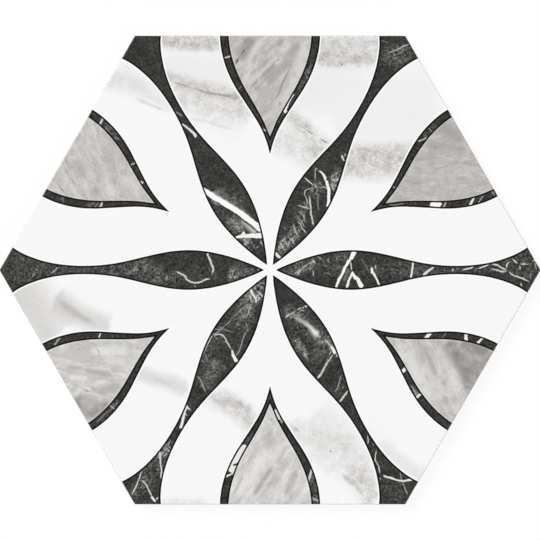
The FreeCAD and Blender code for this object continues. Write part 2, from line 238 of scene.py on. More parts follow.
# Chips of light marble across the petals' dark borders.
BORDER_VEINS = (
    # west-north petal
    (205, 1.4, 1.2, (-101.5, 92), (-104.5, 87)),
    (115, 0.6, 0.6, (-100.5, 86.5), (-95.5, 82)),
    (130, 1.0, 0.8, (-94.5, 80.5), (-92, 79.5)),
    (190, 0.9, 0.9, (-85.5, 63.5), (-81.5, 65)),
    (238, 1.4, 1.3, (-80.5, 54.5), (-77, 52.8)),
    (205, 1.1, 1.1, (-101.5, 42), (-103.5, 37)),
    (135, 0.6, 0.6, (-107, 41.5), (-110.5, 37.5)),
    (120, 0.6, 0.6, (-104, 41), (-107, 37.5)),
    (120, 0.7, 0.6, (-126.5, 44.5), (-125.5, 41)),
    # north petal
    (205, 0.8, 0.9, (-28.5, 128.5), (-24, 130)),
    (110, 0.9, 0.7, (-20, 109), (-17, 112)),
    (200, 1.1, 1.0, (-5, 86), (-1.5, 84.5)),
    (238, 0.9, 1.8, (14.5, 107), (11, 101), (8.5, 96.5)),
    (240, 2.2, 2.2, (8.5, 98), (10, 95.5)),
    (130, 0.7, 0.7, (7, 96.5), (4, 90), (2, 84)),
    (110, 0.8, 0.8, (25, 124.5), (22.5, 119)),
    # east-north petal
    (140, 0.7, 0.7, (96.5, 86.5), (99, 83.5)),
    (170, 1.2, 0.9, (90, 78), (95.5, 80.5)),
    (150, 0.8, 0.8, (74, 51), (76.5, 49.5)),
    (250, 6.2, 6.2, (99.5, 37.5), (102, 42)),
    (190, 0.8, 0.8, (105.5, 37.5), (107, 42)),
    (235, 1.7, 1.4, (120.5, 37.5), (124, 44.5)),
    (165, 0.7, 0.7, (126, 40), (129.5, 45)),
    (150, 0.8, 0.8, (134.5, 48.5), (136.5, 45.5)),
    (130, 0.7, 0.7, (71.5, 40), (75.5, 39.5), (80.5, 40.5)),
    # west-south petal
    (165, 0.8, 1.0, (-127.5, -41), (-131, -45.5)),
    (140, 0.6, 0.6, (-129, -40.5), (-130, -43)),
    (220, 0.9, 0.9, (-102.5, -37), (-104.5, -42.5)),
    (110, 0.5, 0.5, (-95.5, -39.5), (-96, -41.5)),
    (130, 0.6, 0.6, (-105.5, -92.5), (-99.5, -87), (-92, -80)),
    (120, 0.5, 0.5, (-103, -93), (-97.5, -88.5), (-91, -82)),
    (170, 0.8, 0.8, (-97.5, -82), (-94.5, -84.5)),
    # east-south petal
    (242, 2.2, 2.0, (94, -42), (98, -38)),
    (110, 0.8, 0.8, (104.5, -41.5), (107.5, -37.5)),
    (242, 2.0, 2.0, (119, -43), (119, -38)),
    (238, 1.6, 1.4, (126, -44.5), (130, -40.5)),
    (240, 2.2, 2.2, (80, -62.5), (83.5, -58.5)),
    (230, 1.9, 1.5, (88, -78), (92, -75)),
    (150, 0.8, 1.4, (86, -70.5), (89, -76)),
    # south petal
    (228, 2.8, 2.4, (2.5, -85), (4.5, -88.5), (6, -91)),
    (190, 1.4, 0.8, (6, -89.5), (7.5, -93)),
    (205, 1.8, 1.4, (23, -129), (25.5, -121)),
    (165, 1.6, 1.6, (25, -138.5), (30.5, -140.5)),
    (235, 5.5, 5.5, (-13.5, -107), (-18.5, -113), (-24, -123)),
    (40, 1.0, 1.0, (-22.5, -119), (-19, -117)),
    (225, 1.0, 1.0, (-28, -126), (-21, -123)),
    (85, 1.4, 1.8, (-10.5, -100), (-14, -104.5)),
)
# Lighter patches in the black marble: how much lighter, middle, half length, half width, turn.
BLACK_HAZE = (
    # north-west band
    (-6, (-86, 134), 14, 12, 0), (26, (-20, 27), 8, 5, -40), (8, (-27, 31), 9, 6, -40), (14, (-19, 46), 9, 5, -45), (6, (-28, 46), 12, 6, -40),
    (45, (-14, 16.5), 7, 5, -40),
    # north-east band
    (55, (39.5, 55.5), 8, 4, 65), (42, (27.5, 48.5), 8, 5, 60), (24, (18, 32), 15, 6, 65),
    (62, (9.5, 15.5), 9, 5, 45), (28, (14.5, 21.5), 9, 5, 60), (14, (6, 26), 8, 4, 80), (28, (78, 130), 12, 10, 0), (12, (45, 69), 5, 4, 0),
    # east band
    (26, (14, -1), 8, 5, 0), (50, (21, 4), 8, 7, 0), (14, (37, 3), 14, 9, 0), (18, (46, 9), 7, 4, 0),
    (10, (75, 0), 26, 8, 0), (16, (105, 0), 40, 8, 0), (14, (152, 2), 16, 12, 0),
    # west band
    (20, (-78, 1), 9, 8, 70), (14, (-66, -3), 12, 6, 0), (8, (-55, -4), 12, 6, 0), (44, (-22, -4), 7, 5, 80), (12, (-20, 2), 9, 6, 0), (22, (-14, -2), 7, 4, 0),
    (18, (-105, 0), 50, 12, 0), (20, (-66, -6), 12, 5, -10), (14, (-84, -1), 8, 4, 0), (14, (-40, -3), 10, 6, 0), (14, (-152, 0), 18, 14, 0),
    # south-west band
    (62, (-6, -12), 10, 6, 60), (24, (-10, -17), 7, 6, 0), (24, (-17, -28), 14, 10, 60), (30, (-15, -17), 7, 4, 50), (12, (-32, -42), 12, 10, 0),
    (38, (-39, -51), 8, 4, 60), (12, (-32, -59), 11, 6, 60),
    (14, (-50, -86), 7, 5, 60),
    (52, (-64, -109), 8, 5, 45), (26, (-71, -122), 15, 9, 60), (20, (-81, -134), 9, 6, 60),
    # south-east band
    (-5, (6, -10), 12, 6, -60), (36, (14, -25.5), 9, 6, 0), (12, (35, -45), 12, 7, -50), (14, (21, -33), 9, 6, -50), (8, (24, -56), 12, 7, -60), (22, (35, -43), 8, 4, -55),
    (22, (14, -41), 8, 5, -60), (10, (26, -40), 22, 12, -55), (12, (43, -72), 8, 7, 60), (8, (76, -128), 14, 14, 0),
    # borders of the petals
    (22, (-97, 84), 9, 4, -40), (20, (-107, 39), 7, 4, 0), (12, (6, 94), 10, 3, 62),
    (25, (22, 116), 14, 4, 66), (15, (-98, -86), 12, 5, 40), (40, (87, -73), 5, 3, -55),
    (12, (-12, -103), 6, 3, 60), (24, (27, -133), 12, 6, 90), (18, (98, 84), 8, 5, 40),
    (14, (78, 41), 12, 3, 0),
)
# Grey veins in the white marble.
GROUND_VEINS = (
    # north
    (172, 0.9, 1, (-61.5, 115), (-55, 113), (-47.5, 110.5), (-41.5, 108.5)),
    (160, 1.2, 1.2, (-47.5, 110.5), (-40.5, 108.5), (-33, 107), (-25, 105.5), (-17, 104)),
    (168, 1.6, 4.4, (-31, 107.5), (-26, 106), (-15.5, 105.5)),
    (226, 1.4, 1.8, (-52.5, 93), (-45.5, 91.5), (-37.5, 90), (-29, 87), (-21, 85.5)),
    (175, 0.9, 0.9, (14, 90.5), (19.5, 86.5), (24.5, 83.5), (30, 80)),
    (150, 1, 1.2, (28.5, 81), (31.5, 79), (35, 77.5), (38.5, 77)),
    (251, 0.8, 0.8, (15, 89.5), (19.5, 86), (24.5, 82.5)),
    # east-north
    (190, 1.6, 1.4, (49, 73.5), (55.5, 73.5), (60, 72.5), (66, 70.5)),
    (195, 1.5, 1.2, (74.5, 72.5), (80, 72.5)), (205, 1.8, 1.8, (50, 63.5), (58.5, 63)),
    (212, 1.5, 1.5, (59, 62), (66, 60)),
    # west-north
    (212, 0.6, 0.5, (-89.5, 126), (-86.5, 123), (-83.5, 120.5)),
    (215, 0.6, 0.6, (-88.5, 122), (-86, 120)), (222, 0.6, 0.6, (-91, 124.5), (-89, 123)),
    (220, 1.4, 1.6, (-85, 105), (-76.5, 102), (-69.5, 99), (-61.5, 96.5)),
    # west-south
    (192, 4, 3, (-130, -17), (-124.5, -21.5), (-118, -26.5), (-112, -30), (-104, -34.5)),
    (214, 2, 2.2, (-74, -65), (-67.5, -67), (-61, -70), (-55, -72.5)),
    # south
    (203, 2.4, 3, (-37.5, -77.5), (-29.5, -80), (-21.5, -82), (-14, -83.5)),
    (190, 0.9, 0.9, (-19.5, -88), (-15.5, -90.5), (-11.5, -94.5)),
    (252, 1.2, 1.2, (-22.5, -84.5), (-21.5, -85)),
    (192, 2.4, 3.6, (41.5, -122), (45.5, -125.5), (50.5, -129), (55, -133)),
    (196, 3, 2, (13, -95), (16, -97), (19.5, -98)),
    (205, 2.4, 2, (49.5, -128.5), (54.5, -134), (58.5, -140.5)),
)
GROUND_SPOTS = (
    (70, 0.9, 0.9, (43.3, 125), (44.3, 124.8)),
    (80, 0.8, 0.8, (54.0, 124.2), (54.9, 124.1)),
    (150, 1.2, 1.2, (36.1, -110), (37.3, -110)),
)
# Soft grey clouds in the white marble between the bands: how mottled they are, then for each how
# much darker it is, its widths at start and end, and its middle line.
GROUND_CLOUDS = {
    "north": (1, (
        (45, 9, 9, (-69, 140.5), (-48.5, 140), (-22, 140)),
        (20, 4, 4, (-64, 136.5), (-45.5, 134.5), (-28, 135)),
        (16, 2.5, 2.5, (-60, 140.5), (-50, 137), (-37.5, 137.5)),
        (32, 8, 7, (-68, 119), (-52, 113.5), (-38, 110), (-24, 107), (-12, 104)),
        (21, 11, 14, (-64, 107), (-41.5, 101.5), (-25, 98), (-7.5, 97)),
        (8, 20, 20, (-60, 104), (-36.5, 96), (-10.5, 91.5)),
        (38, 18, 18, (18, 136), (47.5, 136), (78, 136)),
        (24, 8, 6, (26, 127.5), (47, 127), (66, 127.5)),
        (30, 8, 8, (2, 99), (12, 94), (20, 88), (27, 84)),
        (25, 16, 18, (0, 83), (16, 76.5), (33, 67)),
        (16, 8, 9, (18, 88.5), (29, 80), (46, 70)), (14, 7, 9, (20, 76), (34, 70)),
    )),
    "east_north": (1, (
        (44, 17, 17, (34, 65), (63.5, 65.5), (94, 66)), (12, 4, 4, (40, 73), (61.5, 73.5), (86, 74.5)),
    )),
    "west_north": (0.6, (
        (18, 12, 5, (-106, 117), (-85, 112), (-72.5, 105.5), (-56, 96.5)),
        (8, 12, 12, (-99, 123), (-83, 117.5), (-68, 109)),
    )),
    "west_south": (0.2, (
        (33, 32, 24, (-159, -5), (-146.5, -23), (-131, -45)),
        (30, 13, 12, (-132, -14), (-120, -25), (-108, -31), (-96, -37)),
        (26, 9, 8, (-88, -60), (-72, -65), (-60, -69), (-48, -74)),
    )),
    "south": (1, (
        (34, 10, 12, (-44, -74), (-34, -77.5), (-23, -82.5), (-12.5, -91), (-6, -97)),
        (18, 5, 7, (-30, -77), (-20, -82.5), (-8, -85.5)),
        (22, 13, 15, (6, -94), (22, -100), (38, -106), (51, -114), (60, -130), (64, -146)),
        (13, 9, 10, (20, -110), (34, -117), (46, -124), (58, -131)),
        (12, 7, 14, (44, -116), (53, -121), (58, -132), (60, -146)),
        (8, 14, 14, (24.5, -84.5), (39, -94), (54.5, -107.5)),
        (14, 5, 5, (-88, -140), (-66.5, -141.5), (-36, -141)),
    )),
    "east_south": (0.6, (
        (16, 8, 9, (64, -102), (78, -115.5), (97, -126)),
    )),
}
# Broad parts of the white marble that are a little greyer, as the veins above.
GROUND_SHADES = (
    (239, 26, 24, (-76, 122), (-16, 119)), (239, 34, 32, (4, 109), (62, 113)),
    (241, 52, 52, (34, 96), (106, 98)), (244, 24, 20, (20, -90), (50, -100), (66, -116)),
)
# Streaks in the grey marble of the petals' hearts, as the veins above.
HEART_VEINS = (
    # north
    (150, 3, 3, (-10, 143), (-14, 139.5), (-18.5, 135.5)),
    (165, 4, 3, (-15.5, 138), (-19.5, 132.5), (-22.5, 129)),
    (158, 8, 6, (-8, 143), (-14, 134), (-19, 125)), (100, 0.9, 1.1, (-12.5, 136.5), (-16, 133), (-18.5, 129)),
    (90, 1.1, 1.3, (-18, 130.5), (-20, 127), (-21.5, 123.5)),
    (214, 4, 3, (-3.5, 142), (-10, 132.5), (-14.5, 122)), (152, 8, 6, (3, 129), (-1.5, 123), (-7, 115)), (176, 5, 5, (15, 122), (10, 112), (6, 104)),
    (212, 4, 4, (-12, 124), (-14.5, 117), (-17.5, 111)),     (214, 5, 4, (13, 142), (8, 134), (3, 131)),
    (165, 3, 2.6, (10.5, 142), (6.5, 138.5), (2, 134)),
    (170, 5, 3.5, (19, 140.5), (13.5, 132), (7.5, 123), (1.5, 116), (-3, 110.5)),
    (145, 1.8, 1.8, (4, 128), (5.5, 127.5)), (162, 2.4, 2, (-1, 129.5), (-2, 126)),
    (165, 2.4, 2.4, (-0.5, 124), (3.5, 122.5)),
    (206, 2.4, 2.4, (7.5, 132.5), (1.5, 127), (-4.5, 121), (-12, 114)),
    (158, 1.6, 1.6, (-6, 118.5), (-9, 113.5), (-13.5, 109)),
    (187, 6, 5, (1.5, 113), (-3, 104.5), (-6.5, 94.5)),
    (212, 7, 6, (24, 136), (19.5, 125), (14, 114), (8, 103.5), (2, 97)),
    (150, 1, 0.9, (13.5, 125), (8, 114.5), (4.5, 106), (1.5, 102)),
    (170, 2.2, 2, (7.5, 103), (4.5, 98.5)),
    # west-north
    (180, 6, 6, (-122, 69), (-116, 62), (-112, 53)), (212, 6, 5, (-92, 58), (-84, 52), (-76, 44)),
    (210, 4, 4, (-104, 58), (-99, 51), (-95, 44)),
    (208, 4, 3, (-112.5, 81.5), (-109, 75), (-106, 69.5)), (178, 1, 0.8, (-114, 79.5), (-111, 75)),
    (162, 0.9, 0.8, (-117.5, 65.5), (-116.5, 62), (-115.5, 58.5)),
    (168, 0.9, 0.8, (-119, 64), (-122, 60.5)),
    (165, 0.9, 0.9, (-125.5, 62), (-123.5, 59.5), (-121.5, 57)),
    (172, 1, 0.9, (-109.5, 67.5), (-106.5, 64), (-104, 61)),
    (182, 5, 4, (-104.5, 69.5), (-97.5, 66.5), (-93, 64)),
    (112, 0.5, 0.5, (-131.5, 56), (-128.5, 51.5), (-125.5, 48), (-122.5, 45)),
    (170, 1.2, 1, (-121.5, 58), (-118.5, 52), (-117, 49.5)),
    (168, 1.2, 1.2, (-108, 52), (-106, 48.5), (-104, 44.5)), (168, 1.4, 1, (-92, 47), (-88, 42.5)),
    (216, 3, 3, (-100.5, 54.5), (-97.5, 50), (-93.5, 43)),
    (222, 3, 2, (-133, 53.5), (-128.5, 48.5), (-125.5, 46)),
    (214, 3, 3, (-115, 57.5), (-112, 51.5), (-109.5, 44)),
    # east-north
    (166, 9, 8, (99, 89), (108, 85), (119, 76)), (172, 6, 6, (92, 77), (104, 75), (122, 72)),
    (158, 1.2, 1.2, (97, 75.5), (100.5, 74.5), (103, 75.5)), (164, 1.2, 1, (112, 74), (119, 73.5)),
    (222, 0.7, 0.7, (101.5, 82), (104.5, 80.5)),
    (204, 2.4, 2, (105.5, 68.5), (110.5, 67.5), (115, 66.5)),
    (174, 5, 4, (92, 69), (97.5, 70), (104, 71)),
    (168, 1.6, 1.4, (113.5, 65), (119.5, 65), (125.5, 64.5)),
    (205, 1, 1, (104.5, 70), (107.5, 69.5)),
    # west-south
    (150, 10, 9, (-121, -77), (-112, -83), (-101, -84)), (182, 6, 6, (-108, -75), (-97, -72), (-90, -68)),
    (226, 7, 6, (-110, -48.5), (-96, -50), (-84, -51.5)), (218, 4, 4, (-104, -54), (-94, -56), (-84, -57)),
    (198, 6, 6, (-129.5, -52), (-119, -51.5), (-106, -54.5)),
    (176, 0.8, 0.6, (-107.5, -45.5), (-104.5, -49), (-102, -54)),
    (182, 2.4, 2, (-127, -61), (-119, -59.5), (-110.5, -60)),
    (178, 2.6, 3, (-116, -59.5), (-106, -62), (-94.5, -64)),
    (226, 3, 2.4, (-125.5, -65), (-117.5, -65.5), (-107.5, -67)),
    (156, 1, 0.9, (-116, -70.5), (-111.5, -73.5), (-106, -74.5)),
    (168, 1, 0.8, (-112, -70), (-106.5, -71.5), (-101.5, -74)),
    (176, 3, 2.5, (-111, -71.5), (-106.5, -73), (-102, -74)),
    (190, 2, 2, (-122.5, -68.5), (-118, -70), (-114, -70.5)),
    (182, 8, 8, (-118, -78.5), (-109.5, -81.5), (-102, -82.5)),
    (172, 5, 4, (-115, -80), (-111, -84.5), (-108, -89)),
    (186, 3, 2.5, (-99, -60), (-94.5, -61), (-90, -62.5)),
    (152, 6, 5, (-114, -89), (-105, -85.5), (-96, -78)),
    # east-south
    (222, 9, 8, (77, -43), (83.5, -54), (91, -67), (98, -81)), (212, 6, 9, (93, -52), (99, -63), (104, -82)), (188, 5, 5, (108, -78), (116, -79)),
    (176, 2.6, 3, (91.5, -45.5), (96, -52.5), (99.5, -61), (102.5, -67)),
    (210, 5, 5, (99.5, -44.5), (105, -53.5), (109.5, -63.5)),
    (136, 7, 8, (106.5, -41), (113.5, -52), (119, -61), (123, -71)),
    (138, 1, 1.2, (111.5, -47), (115.5, -52.5), (119, -58)),
    (144, 11, 11, (114, -41), (124, -46.5), (140, -56)), (148, 9, 9, (128, -52), (124, -64), (119, -76)),
    (155, 1.6, 1.4, (128, -50), (130, -53), (131, -56.5)),
    (150, 3, 3, (116.5, -59), (119.5, -64), (122, -69.5)),
    (218, 6, 6, (106.5, -58), (111, -67), (117, -76.5)),
    (170, 2.6, 2.4, (104.5, -65.5), (105.5, -68.5), (107, -71.5)),
    (180, 3, 2.6, (103, -74.5), (106.5, -78.5), (109, -84)),
    # south
    (182, 3, 3, (3, -95), (-2, -101.5), (-6.5, -104.5)),
    (190, 8, 6, (4.5, -100), (-0.5, -104.5), (-4.5, -109.5)),
    (174, 1.6, 1.4, (2, -89.5), (-0.5, -92)),
    (174, 2, 2.4, (10, -106), (6.5, -113), (1.5, -119.5)),
    (172, 3, 2.4, (3, -117.5), (-2, -124.5), (-6, -130.5), (-11, -139)),
    (178, 4, 3, (17, -119.5), (13, -129), (10.5, -134), (8.5, -140)),
    (180, 4, 3, (7.5, -124.5), (1.5, -129), (-4.5, -132.5)),
    (228, 8, 8, (2, -108.5), (-7, -118), (-13.5, -127), (-21, -139)), (220, 5, 4, (8, -104), (4, -112), (-2, -121)),
    (193, 1.4, 1.2, (-9.5, -107.5), (-12.5, -116), (-15.5, -122)),
    (190, 1.4, 1.4, (-15.5, -122), (-19, -130), (-23.5, -138.5)),
    (224, 5, 4, (7.5, -132), (4.5, -136.5), (1.5, -141.5)),
)
# Hearts of the petals by sector: brightness, direction of the streaks in degrees from x, and how
# strong they are.
HEARTS = ((187, 2, 22), (192, 50, 30), (196, -66, 24), (205, -4, 28), (209, 57, 24), (197, -66, 26))


def srgb(red, green, blue):
    """Linear colour of a screen colour given from 0 to 255."""
    def linear(value):
        value /= 255
        return value / 12.92 if value <= 0.04045 else ((value + 0.055) / 1.055) ** 2.4
    return (linear(red), linear(green), linear(blue), 1)


class Graph:
    """Short ways to add nodes to a tree. An input is a socket or a plain number."""

    def __init__(self, tree):
        self.tree = tree

    def add(self, kind, **settings):
        node = self.tree.nodes.new(kind)
        for name, value in settings.items():
            setattr(node, name, value)
        return node

    def feed(self, socket, value):
        if isinstance(value, bpy.types.NodeSocket):
            self.tree.links.new(value, socket)
        elif value is not None:
            socket.default_value = value

    def math(self, operation, *values, clamp=False):
        node = self.add("ShaderNodeMath", operation=operation, use_clamp=clamp)
        for socket, value in zip(node.inputs, values):
            self.feed(socket, value)
        return node.outputs[0]

    def vector(self, operation, *values):
        node = self.add("ShaderNodeVectorMath", operation=operation)
        for socket, value in zip(node.inputs, values):
            self.feed(socket, value)
        return node.outputs[1 if operation in {"DOT_PRODUCT", "LENGTH", "DISTANCE"} else 0]

    def ramp(self, value, low, high, to_low=0.0, to_high=1.0, smooth=True):
        """value from low to high becomes to_low to to_high, and stays there outside."""
        kind = "SMOOTHSTEP" if smooth else "LINEAR"
        node = self.add("ShaderNodeMapRange", interpolation_type=kind, clamp=not smooth)
        for socket, number in zip(node.inputs, (value, low, high, to_low, to_high)):
            self.feed(socket, number)
        return node.outputs[0]

    def blend(self, share, first, second):
        """Number between two others."""
        node = self.add("ShaderNodeMix", data_type="FLOAT")
        for socket, value in zip((node.inputs[0], node.inputs[2], node.inputs[3]),
                                 (share, first, second)):
            self.feed(socket, value)
        return node.outputs[0]

    def mix(self, share, first, second):
        """Colour between two others."""
        node = self.add("ShaderNodeMix", data_type="RGBA")
        for socket, value in zip((node.inputs[0], node.inputs[6], node.inputs[7]),
                                 (share, first, second)):
            self.feed(socket, value)
        return node.outputs[2]

    def split(self, vector):
        node = self.add("ShaderNodeSeparateXYZ")
        self.feed(node.inputs[0], vector)
        return node.outputs

    def join(self, x, y, z=0.0):
        node = self.add("ShaderNodeCombineXYZ")
        for socket, value in zip(node.inputs, (x, y, z)):
            self.feed(socket, value)
        return node.outputs[0]

    def along(self, place, middle, turn, unit):
        """Distance from middle in one direction, in units; place holds x, y and 1."""
        way = Vector((math.cos(turn), math.sin(turn))) / unit
        return self.vector("DOT_PRODUCT", place, (way.x, way.y, -way.dot(Vector(middle))))

    def curve(self, value, points, straight=False, extend="HORIZONTAL"):
        """Curve through (from 0 to 1, height) points."""
        node = self.add("ShaderNodeFloatCurve")
        mapping = node.mapping
        mapping.use_clip = False
        mapping.extend = extend
        line = mapping.curves[0]
        while len(line.points) < len(points):
            line.points.new(0.5, 0.5)
        for point, location in zip(line.points, points):
            point.location = location
            if straight:
                point.handle_type = "VECTOR"
        mapping.update()
        self.feed(node.inputs["Value"], value)
        return node.outputs[0]

    def noise(self, place, scale, detail=4.0, roughness=0.5, distortion=0.0, colour=False):
        node = self.add("ShaderNodeTexNoise")
        self.feed(node.inputs["Vector"], place)
        for name, value in (("Scale", scale), ("Detail", detail), ("Roughness", roughness),
                            ("Distortion", distortion)):
            self.feed(node.inputs[name], value)
        return node.outputs["Color" if colour else "Fac"]


def width_curve(graph, along, points):
    """Half width of a printed shape at a distance along its axis, and its slope there."""
    (first, _), (last, _) = points[0], points[-1]
    tallest = max(width for _, width in points)
    shares = [((at - first) / (last - first), width / tallest) for at, width in points]

    def read(distance):
        share = graph.math("DIVIDE", graph.math("SUBTRACT", distance, first), last - first)
        line = graph.curve(share, shares, extend="EXTRAPOLATED")
        return graph.math("MULTIPLY", line, tallest)

    step = 1.0
    ahead = read(graph.math("ADD", along, step))
    behind = read(graph.math("SUBTRACT", along, step))
    slope = graph.math("DIVIDE", graph.math("SUBTRACT", ahead, behind), 2 * step)
    return read(along), slope


def depth_inside(graph, along, beside, points):
    """How far a point lies inside a printed shape, in mm; negative outside it."""
    width, slope = width_curve(graph, along, points)
    stretch = graph.math("SQRT", graph.math("MULTIPLY_ADD", slope, slope, 1.0))
    return graph.math("DIVIDE", graph.math("SUBTRACT", width, beside), stretch)


def between(graph, value, low, high, soft=PRINT_BLUR):
    """1 where value lies between two limits."""
    rise = graph.ramp(value, low - soft / 2, low + soft / 2)
    fall = graph.ramp(value, high - soft / 2, high + soft / 2, 1.0, 0.0)
    return graph.math("MULTIPLY", rise, fall)


def wavering(graph, x, y, step, reach):
    """x and y pushed about by noise with a given step and reach in mm."""
    pushed = []
    for side, value in enumerate((x, y)):
        layer = graph.join(x, y, 50.0 * (side + 1))
        noise = graph.noise(layer, 1 / step, detail=4.0, roughness=0.7)
        pushed.append(graph.math("MULTIPLY_ADD", graph.math("SUBTRACT", noise, 0.5), 2 * reach,
                                 value))
    return pushed


def vein_cover(graph, place, widths, points, soft, taper):
    """1 on a vein and 0 beside it. soft is the share of its width taken by blurred edges, and
    taper the length in mm over which it thins out at each end."""
    start, end = Vector(points[0]), Vector(points[-1])
    run = end - start
    length = run.length
    across = Vector((-run.y, run.x)) / length
    offsets = [(Vector(point) - start).dot(across) for point in points]
    shares = [(Vector(point) - start).dot(run) / length ** 2 for point in points]
    blur = max(MARBLE_BLUR, soft * max(widths))
    reach = 2 * max(map(abs, offsets)) + sum(widths) + blur
    turn = math.atan2(run.y, run.x)
    along = graph.along(place, start, turn, length)
    beside = graph.along(place, start, turn + math.pi / 2, reach)
    if len(points) > 2:
        line = [(share, offset / reach) for share, offset in zip(shares, offsets)]
        beside = graph.math("SUBTRACT", beside, graph.curve(along, line))
    end_share = min(0.45, taper / length)
    half_widths = [(width + blur) / 2 / reach for width in widths]
    profile = ((0, NOTHING), (end_share, half_widths[0]), (1 - end_share, half_widths[1]),
               (1, NOTHING))
    beside = graph.math("ABSOLUTE", beside)
    depth = graph.math("SUBTRACT", graph.curve(along, profile, straight=True), beside)
    return graph.ramp(depth, 0.0, blur / reach)


def ellipse_cover(graph, place, middle, half_length, half_width, turn):
    """1 in the middle of an ellipse, fading out to 0 at its edge."""
    turn = math.radians(turn)
    along = graph.along(place, middle, turn, half_length)
    beside = graph.along(place, middle, turn + math.pi / 2, half_width)
    square = graph.math("MULTIPLY_ADD", beside, beside, graph.math("MULTIPLY", along, along))
    return graph.ramp(square, 1.0, 0.05)


def sector_axis(sector):
    return (2 * sector + 1) * HALF_SECTOR


def reaches(sector, point, margin):
    """Whether a point lies in a sector or at most margin outside it."""
    axis = sector_axis(sector)
    along, beside = (Vector(point).dot(Vector((math.cos(turn), math.sin(turn))))
                     for turn in (axis, axis + math.pi / 2))
    return along * math.sin(HALF_SECTOR) - abs(beside) * math.cos(HALF_SECTOR) > -margin


def veins_near(sector, veins):
    return [vein for vein in veins
            if any(reaches(sector, point, max(vein[1:3]) + 3.0) for point in vein[3:])]


def swing(graph, noise, reach):
    """Noise as a number from about -reach to reach."""
    return graph.math("MULTIPLY_ADD", noise, 4 * reach, -2 * reach)


def grouped(graph, name, build, **inputs):
    """Number worked out by build in a node group of its own."""
    tree = bpy.data.node_groups.new(name, "ShaderNodeTree")
    for label in inputs:
        tree.interface.new_socket(label, in_out="INPUT", socket_type="NodeSocketFloat")
    tree.interface.new_socket("result", in_out="OUTPUT", socket_type="NodeSocketFloat")
    inner = Graph(tree)
    given = inner.add("NodeGroupInput").outputs
    result = build(inner, **{label: given[label] for label in inputs})
    inner.feed(inner.add("NodeGroupOutput").inputs[0], result)
    group = graph.add("ShaderNodeGroup", node_tree=tree)
    for label, value in inputs.items():
        graph.feed(group.inputs[label], value)
    return group.outputs[0]


def add_veins(graph, tone, x, y, veins, soft, taper):
    """The tone with veins drawn over it, a few to a node group."""
    for first in range(0, len(veins), 10):
        def build(inner, tone, x, y, some=veins[first:first + 10]):
            place = inner.join(x, y, 1.0)
            for brightness, start_width, end_width, *points in some:
                cover = vein_cover(inner, place, (start_width, end_width), points, soft, taper)
                tone = inner.blend(cover, tone, brightness)
            return tone
        tone = grouped(graph, "veins", build, tone=tone, x=x, y=y)
    return tone


def add_clouds(graph, x, y, clouds):
    """How much darker the marble is, from clouds drawn as broad soft veins."""
    def build(inner, x, y):
        place, darker = inner.join(x, y, 1.0), 0.0
        for depth, start_width, end_width, *points in clouds:
            cover = vein_cover(inner, place, (start_width, end_width), points, 0.8, 5.0)
            darker = inner.math("MULTIPLY_ADD", cover, depth, darker)
        return darker
    return grouped(graph, "clouds", build, x=x, y=y)


def add_haze(graph, x, y, patches):
    def build(inner, x, y):
        place, lighter = inner.join(x, y, 1.0), 0.0
        for light, *ellipse in patches:
            cover = ellipse_cover(inner, place, *ellipse)
            lighter = inner.math("MULTIPLY_ADD", cover, light, lighter)
        return lighter
    return grouped(graph, "haze", build, x=x, y=y)


def black_marble(graph, x, y, mottle, grain, threads, sector):
    blurs = veins_near(sector, BAND_BLURS)
    tone = add_veins(graph, BLACK, x, y, [vein for vein in blurs if vein[0] < DIM], 1.0, 4.0)
    texture = graph.math("ADD", swing(graph, mottle, 0.28), swing(graph, grain, 0.5))
    texture = graph.math("MULTIPLY_ADD", threads, 0.3, texture)
    tone = graph.math("MULTIPLY_ADD", tone, texture, tone)
    texture = graph.math("MULTIPLY_ADD", threads, 1.3, graph.ramp(mottle, 0.35, 0.65, 0.35, 0.9))
    texture = graph.math("ADD", texture, swing(graph, grain, 0.9))
    patches = [patch for patch in BLACK_HAZE if reaches(sector, *patch[1:3])]
    texture = graph.math("MULTIPLY", texture, add_haze(graph, x, y, patches))
    tone = graph.math("ADD", tone, texture)
    tone = add_veins(graph, tone, x, y, [vein for vein in blurs if vein[0] >= DIM], 1.0, 4.0)
    veins = veins_near(sector, BAND_VEINS)
    thin = [vein for vein in veins if vein[0] < SOLID]
    veined = add_veins(graph, tone, x, y, thin, 0.0, 2.5)
    tone = graph.blend(graph.ramp(grain, 0.32, 0.48, 0.75, 1.35), tone, veined)
    solid = [vein for vein in veins if vein[0] >= SOLID]
    tone = add_veins(graph, tone, x, y, solid, 0.0, 0.8)
    return add_veins(graph, tone, x, y, veins_near(sector, BORDER_VEINS), 0.0, 0.3)


def white_marble(graph, x, y, loose_x, loose_y, mottle, grain, threads, sector):
    wide_x, wide_y = wavering(graph, x, y, 14.0, 3.0)
    texture = graph.math("ADD", swing(graph, mottle, 0.8), swing(graph, grain, 0.25))
    texture = graph.math("MULTIPLY_ADD", threads, -0.5, texture)
    rough, clouds = GROUND_CLOUDS[SECTORS[sector]]
    texture = graph.math("MULTIPLY_ADD", texture, rough, 1.0)
    darker = graph.math("MULTIPLY", add_clouds(graph, wide_x, wide_y, clouds), texture)
    tone = add_veins(graph, WHITE, wide_x, wide_y, veins_near(sector, GROUND_SHADES), 0.8, 8.0)
    tone = graph.math("SUBTRACT", tone, darker)
    tone = graph.math("ADD", tone, swing(graph, mottle, 0.35))
    veined = add_veins(graph, tone, loose_x, loose_y, veins_near(sector, GROUND_VEINS), 0.8, 6.0)
    tone = graph.blend(graph.ramp(mottle, 0.38, 0.55, 0.55, 1.1), tone, veined)
    return add_veins(graph, tone, loose_x, loose_y, veins_near(sector, GROUND_SPOTS), 0.0, 0.3)


